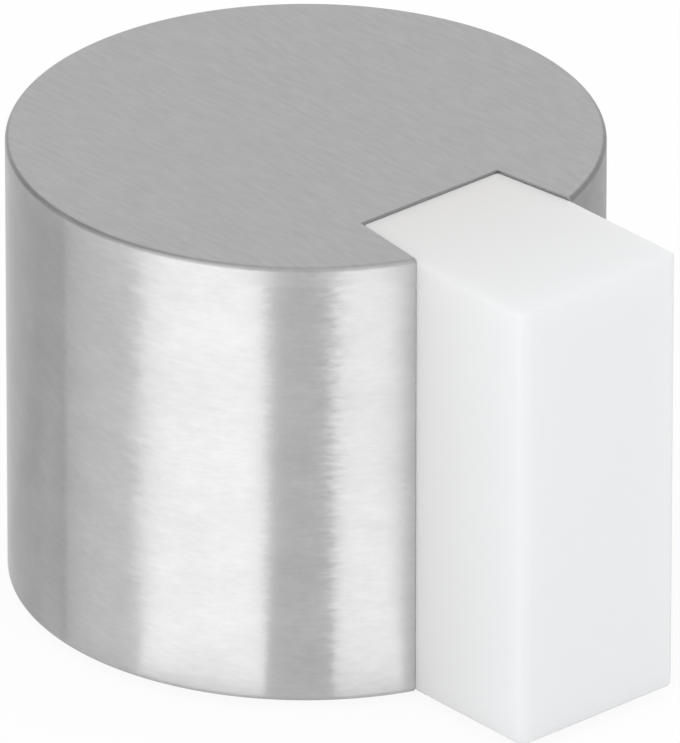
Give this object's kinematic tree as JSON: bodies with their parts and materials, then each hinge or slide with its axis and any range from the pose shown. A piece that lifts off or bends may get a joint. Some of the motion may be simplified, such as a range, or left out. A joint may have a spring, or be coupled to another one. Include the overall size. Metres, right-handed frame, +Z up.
{
  "type": "adhesive door bumper",
  "caption": "Short brushed steel cylinder, slotted in its side to hold a white rubber buffer that meets the door, stuck to the floor by a thin adhesive pad.",
  "frame": {"origin": "centre of the adhesive pad's lower face, on the cylinder's axis", "axes": "+Z up from the floor along the cylinder's axis, +X from the axis towards the face that the door meets"},
  "size_m": [0.0494, 0.04, 0.0327],
  "materials": {
    "brushed_stainless": "satin, brushed round the side and in straight lines across the top",
    "white_rubber": "smooth matt white, moulded",
    "adhesive_foam": "matt grey-white foam with a tacky skin"
  },
  "bodies": {
    "root": {"steel_body": "brushed_stainless", "buffer_block": "white_rubber", "adhesive_pad": "adhesive_foam"}
  },
  "joints": []
}
